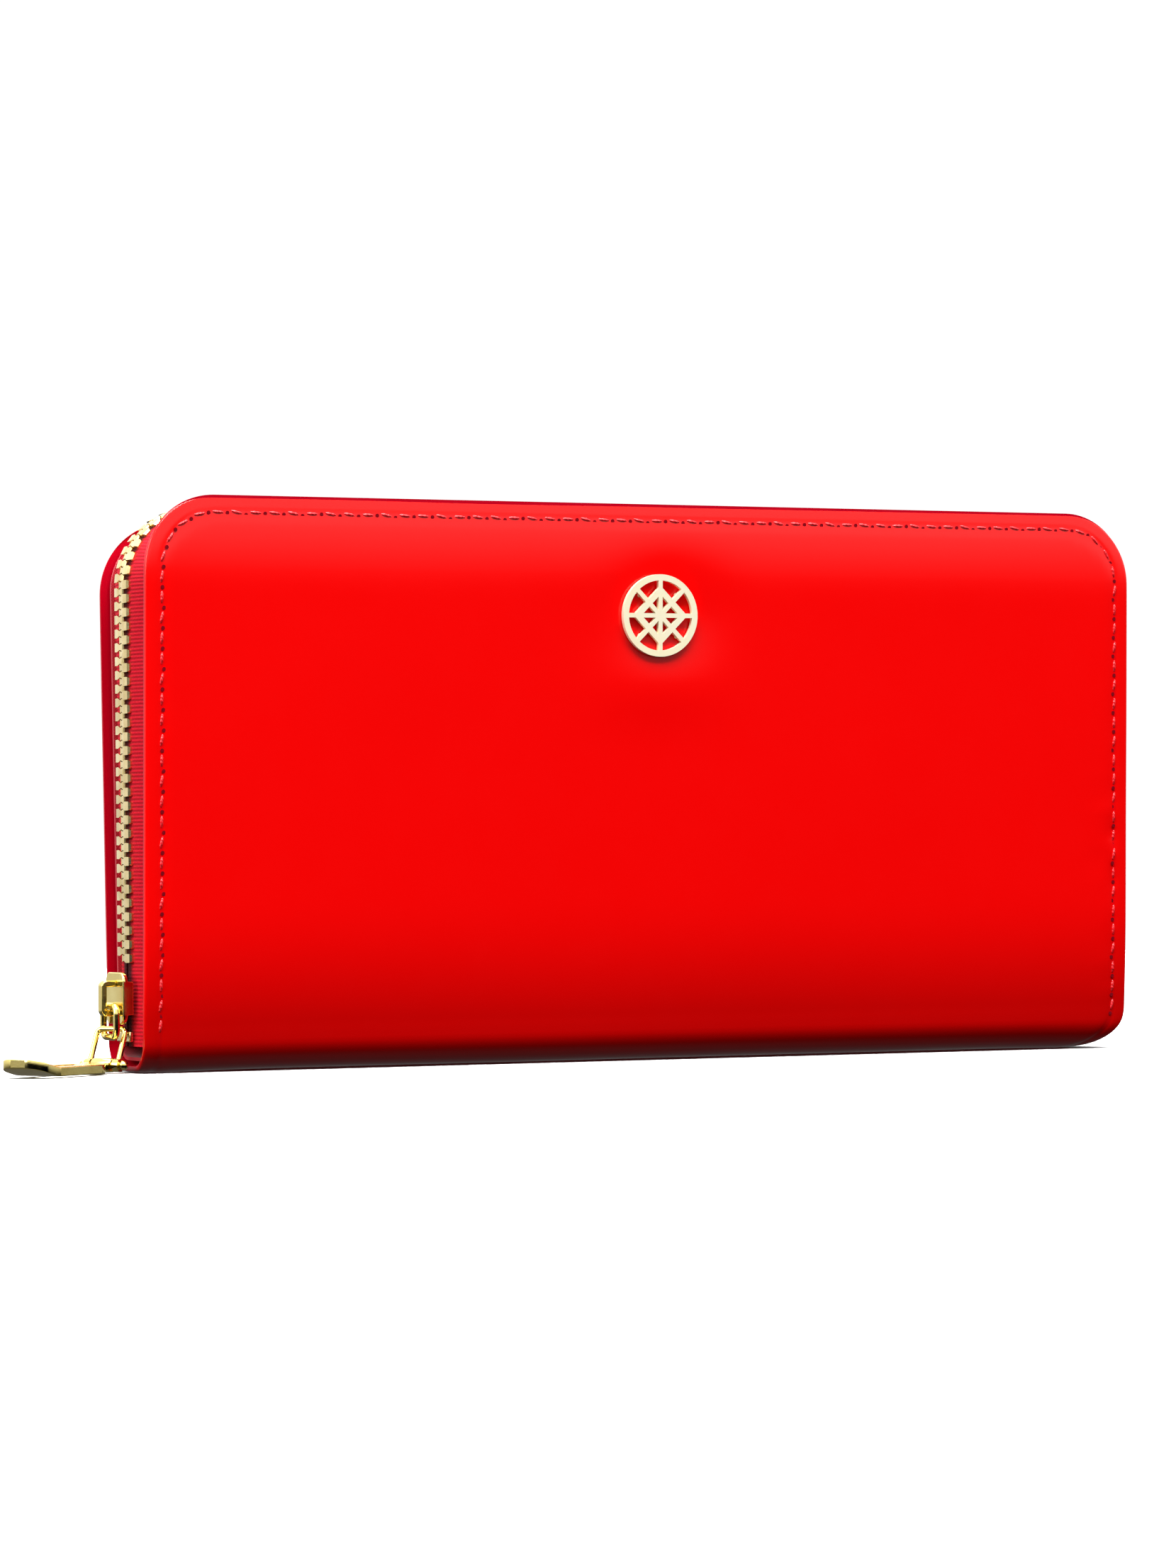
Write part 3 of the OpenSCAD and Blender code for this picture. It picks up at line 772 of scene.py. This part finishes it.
def gold_material(name, light, dark, rough, stretch, metal=1.0):
    """Pale gold plating with hairlines and soft patches; a low metal share makes it satin enamel"""
    material, tree, target = new_material(name, Metallic=metal)
    marks = use(tree, HAIRLINES, Scale=420.0, Stretch=stretch)
    plug(tree, target["Base Color"], blend_colours(tree, marks["Patches"], light, dark))
    plug(tree, target["Roughness"], remap(tree, marks["Patches"], 0.0, 1.0, rough, rough + 0.09))
    raise_surface(tree, target, marks["Height"], 0.18, 0.00004)
    return material


def thread_material():
    """Glossy twisted thread, a touch pinker than the leather"""
    material, tree, target = new_material(
        "red thread", Specular_IOR_Level=0.7, Sheen_Weight=0.08, Sheen_Roughness=0.4,
    )
    where = add(tree, "TexCoord").outputs["Object"]
    wave = add(tree, "TexWave", {"bands_direction": "DIAGONAL"}, Vector=where, Scale=900.0, Distortion=1.0)
    twist = wave.outputs["Fac"]
    colour = blend_colours(tree, twist, (0.62, 0.0, 0.006, 1), (0.92, 0.006, 0.016, 1))
    plug(tree, target["Base Color"], colour)
    plug(tree, target["Roughness"], remap(tree, twist, 0.0, 1.0, 0.5, 0.32))
    raise_surface(tree, target, twist, 0.6, 0.00006)
    return material


def hole_shade_material():
    """The painted shade inside a needle hole"""
    material, tree, target = new_material("painted hole shade", Specular_IOR_Level=0.1)
    rough = use(tree, GRAIN, Scale=4000.0, Pores=0.8)["Height"]
    shade = blend_colours(tree, rough, (0.05, 0.0, 0.002, 1), (0.22, 0.0, 0.006, 1))
    plug(tree, target["Base Color"], shade)
    plug(tree, target["Roughness"], remap(tree, rough, 0.0, 1.0, 0.95, 0.75))
    return material


def lining_material():
    """Dark red woven lining"""
    material, tree, target = new_material(
        "lining cloth", Specular_IOR_Level=0.25, Sheen_Weight=0.2, Sheen_Roughness=0.5,
    )
    threads = use(tree, CLOTH, Pitch=0.0005)["Height"]
    patches = use(tree, SMUDGES, Scale=40.0, Contrast=0.5)["Amount"]
    cloth = blend_colours(tree, threads, (0.3, 0.003, 0.012, 1), (0.5, 0.008, 0.024, 1))
    worn = blend_colours(tree, times(tree, patches, 0.35), cloth, (0.52, 0.02, 0.035, 1))
    plug(tree, target["Base Color"], worn)
    plug(tree, target["Roughness"], remap(tree, threads, 0.0, 1.0, 0.85, 0.65))
    raise_surface(tree, target, threads, 0.6, 0.00008)
    return material


def pocket_material():
    """Soft red calf of the card pockets and of the coin pocket"""
    material, tree, target = new_material("card pocket leather", Coat_Roughness=0.3, Coat_Weight=0.15)
    grain = use(tree, GRAIN, Scale=1300.0, Pores=0.9)["Height"]
    patches = use(tree, SMUDGES, Scale=55.0, Contrast=0.5)["Amount"]
    colour = blend_colours(tree, grain, (0.36, 0.004, 0.012, 1), (0.6, 0.012, 0.026, 1))
    colour = blend_colours(tree, times(tree, patches, 0.3), colour, (0.45, 0.01, 0.02, 1))
    plug(tree, target["Base Color"], colour)
    plug(tree, target["Roughness"], remap(tree, patches, 0.0, 1.0, 0.42, 0.56))
    raise_surface(tree, target, grain, 0.5, 0.00012)
    return material


def board_material():
    """Pressed fibre board"""
    material, tree, target = new_material("fibre board", Specular_IOR_Level=0.2)
    fibre = use(tree, HAIRLINES, Scale=900.0, Stretch=4.0)
    colour = blend_colours(tree, fibre["Height"], (0.2, 0.13, 0.08, 1), (0.36, 0.27, 0.18, 1))
    plug(tree, target["Base Color"], colour)
    plug(tree, target["Roughness"], remap(tree, fibre["Patches"], 0.0, 1.0, 0.8, 0.95))
    raise_surface(tree, target, fibre["Height"], 0.5, 0.0001)
    return material


def steel_material():
    """Plain galvanised washer"""
    material, tree, target = new_material("washer steel", Metallic=1.0)
    marks = use(tree, HAIRLINES, Scale=700.0, Stretch=5.0)
    colour = blend_colours(tree, marks["Patches"], (0.5, 0.5, 0.52, 1), (0.38, 0.38, 0.4, 1))
    plug(tree, target["Base Color"], colour)
    plug(tree, target["Roughness"], remap(tree, marks["Patches"], 0.0, 1.0, 0.3, 0.45))
    raise_surface(tree, target, marks["Height"], 0.3, 0.00005)
    return material


PATENT = patent_material()
TAPE = tape_material()
STRIP = strip_material()
TEETH_GOLD = gold_material("tooth gold", (0.94, 0.77, 0.4, 1), (0.76, 0.59, 0.27, 1), 0.16, 3.0)
PULL_GOLD = gold_material("pull gold", (0.90, 0.74, 0.26, 1), (0.84, 0.66, 0.2, 1), 0.1, 7.0)
EMBLEM_GOLD = gold_material("emblem gold", (1.0, 0.93, 0.68, 1), (0.97, 0.88, 0.6, 1), 0.42, 6.0, 0.22)
THREAD = thread_material()
HOLE_SHADE = hole_shade_material()
LINING = lining_material()
POCKET = pocket_material()
BOARD = board_material()
STEEL = steel_material()


# ---------- Building the wallet ----------

def build_cover(side, word, height):
    """Leather, stitches, tape and teeth of one cover"""
    body = word + "_cover"

    shell = leather_shell(side, height)
    leather = make_piece(word + "_cover_shell", shell, PATENT, 50.0)
    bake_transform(leather)
    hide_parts(word + "_leather")
    if side == FRONT:
        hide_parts("spine_leather")

    places = cover_places(side, height)
    thread = make_piece(word + "_seam_thread", scatter(stitch_template(), places), THREAD, 60.0)
    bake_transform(thread)
    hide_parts(word + "_stitching")
    # Dark discs of painted shade where the needle holes are
    holes = make_piece(word + "_needle_hole_shade", needle_hole_shade(places), HOLE_SHADE)
    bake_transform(holes)

    rows = scatter(stitch_template(), pocket_places(side))
    pocket_thread = make_piece(word + "_pocket_thread", rows, THREAD)
    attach(pocket_thread, body)

    tape = make_piece(word + "_tape", zip_tape(side), TAPE, 60.0)
    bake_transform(tape)
    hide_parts(word + "_zip_tape")
    teeth = make_piece(word + "_teeth", teeth_row(side), TEETH_GOLD, 30.0)
    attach(teeth, body)
    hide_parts(word + "_zip_teeth")
    stops = soften(word + "_stops", word + "_zip_stops", TEETH_GOLD, 0.2)
    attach(stops, "spine")


def build_metalwork():
    """Slider, pull and emblem with rounded edges"""
    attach(soften("slider_casting", "slider_body", PULL_GOLD, 0.22, 3), "slider")
    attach(soften("slider_arch", "slider_bail", PULL_GOLD, 0.25, 3), "slider")
    tab = soften("tab_plate", "pull_tab", PULL_GOLD, 0.25, 3, form=turn_up_tip)
    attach(tab, "tab")
    emblem = soften("emblem_lattice", "emblem_plate", EMBLEM_GOLD, 0.12, flat=0.3)
    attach(emblem, "front_cover")
    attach(soften("coin_zip_slider", "coin_slider", TEETH_GOLD, 0.12), "coin_slider")
    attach(soften("coin_zip_pull", "coin_pull", TEETH_GOLD, 0.12), "coin_pull")


def finish_cad_parts():
    """Materials of the CAD parts that stay as they are"""
    finishes = {
        "board": BOARD, "lining": LINING, "pocket": POCKET, "washer": STEEL,
        "coin_front_wall": POCKET, "coin_back_wall": POCKET, "coin_frame": STRIP, "coin_hem": STRIP,
        "coin_front_tape": STRIP, "coin_back_tape": STRIP,
        "coin_front_teeth": TEETH_GOLD, "coin_back_teeth": TEETH_GOLD,
        "pull_ring": PULL_GOLD, "pull_shackle": PULL_GOLD, "pull_pin": PULL_GOLD,
    }
    for name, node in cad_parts.items():
        for word, material in finishes.items():
            if word in name:
                node.data.materials.clear()
                node.data.materials.append(material)


# ---------- Studio ----------

def make_floor():
    shape = bmesh.new()
    bmesh.ops.create_grid(shape, x_segments=1, y_segments=1, size=1.0)
    mesh = bpy.data.meshes.new("studio_floor")
    shape.to_mesh(mesh)
    shape.free()
    floor = bpy.data.objects.new("studio_floor", mesh)
    bpy.context.scene.collection.objects.link(floor)
    material, _, target = new_material("pale paper", Roughness=0.9, Specular_IOR_Level=0.0)
    target["Base Color"].default_value = (0.93, 0.93, 0.93, 1)
    mesh.materials.append(material)
    floor.visible_glossy = False
    floor.visible_diffuse = False


def make_light(name, place, aim, size, power):
    lamp = bpy.data.lights.new(name, "AREA")
    lamp.shape = "RECTANGLE"
    lamp.size, lamp.size_y = size
    lamp.energy = power
    light = bpy.data.objects.new(name, lamp)
    bpy.context.scene.collection.objects.link(light)
    light.location = place
    light.rotation_mode = "QUATERNION"
    light.rotation_quaternion = (Vector(aim) - Vector(place)).to_track_quat("-Z", "Y")


def make_world():
    """White to the eye; for light and reflections a dome, dark below and in a band before the wallet"""
    world = bpy.data.worlds.new("studio")
    bpy.context.scene.world = world
    world.use_nodes = True
    tree = world.node_tree
    tree.nodes.clear()
    way = add(tree, "SeparateXYZ", Vector=add(tree, "TexCoord").outputs["Generated"]).outputs
    dome = remap(tree, way["Z"], 0.0, 0.24, 0.0, 1.5)
    under = remap(tree, way["Z"], -0.95, -0.75, 0.14, 0.0)
    behind = remap(tree, way["Y"], -0.45, 0.35, 0.0, 1.0)
    behind = times(tree, behind, remap(tree, way["Z"], -0.22, 0.12, 0.12, 1.1))
    mirror = math_node(tree, "MAXIMUM", math_node(tree, "MAXIMUM", dome, under), behind)
    diffuse = remap(tree, way["Z"], -0.2, 0.35, 0.04, 0.62)
    path = add(tree, "LightPath").outputs
    seen = add(tree, "Mix", {"data_type": "FLOAT"})
    plug(tree, seen.inputs[0], path["Is Glossy Ray"])
    plug(tree, seen.inputs[2], diffuse)
    plug(tree, seen.inputs[3], mirror)
    strength = add(tree, "Mix", {"data_type": "FLOAT"})
    plug(tree, strength.inputs[0], path["Is Camera Ray"])
    plug(tree, strength.inputs[2], seen.outputs[0])
    plug(tree, strength.inputs[3], 1.05)
    sky = add(tree, "Background", Color=(1, 1, 1, 1), Strength=strength.outputs[0])
    tree.links.new(sky.outputs["Background"], add(tree, "OutputWorld").inputs["Surface"])


def make_camera():
    """A long lens at the height of the wallet, a quarter turn short of its left end"""
    yaw, tip, roll = math.radians(25.26), math.radians(0.95), math.radians(-0.60)
    ahead = Vector((math.sin(yaw) * math.cos(tip), math.cos(yaw) * math.cos(tip), math.sin(tip)))
    across = Vector((math.cos(yaw), -math.sin(yaw), 0))
    up = across.cross(ahead)
    level = Matrix((across, up, -ahead)).transposed()
    lens = bpy.data.cameras.new("camera")
    lens.sensor_fit = "AUTO"
    lens.sensor_width = 36.0
    lens.lens = 122.06
    lens.clip_start = 0.01
    camera = bpy.data.objects.new("camera", lens)
    bpy.context.scene.collection.objects.link(camera)
    camera.matrix_world = (level @ Matrix.Rotation(roll, 3, "Z")).to_4x4()
    camera.location = (-0.4190, -0.8694, 0.034)
    bpy.context.scene.camera = camera


def make_studio():
    make_floor()
    make_world()
    make_light("key softbox", (-0.25, -0.6, 1.3), (0, 0, 0.05), (1.2, 0.5), 22.0)
    make_light("top softbox", (0.1, 0.15, 1.4), (0, 0, 0.0), (1.6, 1.3), 40.0)
    make_light("strip light", (0.0, -0.7, 1.1), (0, 0, 0.05), (2.0, 0.06), 9.0)
    make_light("left softbox", (-1.4, -0.1, 0.6), (-0.1, 0, 0.05), (0.5, 0.9), 13.0)
    settings = bpy.context.scene.view_settings
    settings.view_transform = "Standard"
    settings.look = "None"


build_cover(FRONT, "front", FRONT_H)
build_cover(BACK, "back", BACK_H)
build_metalwork()
finish_cad_parts()
make_studio()
make_camera()
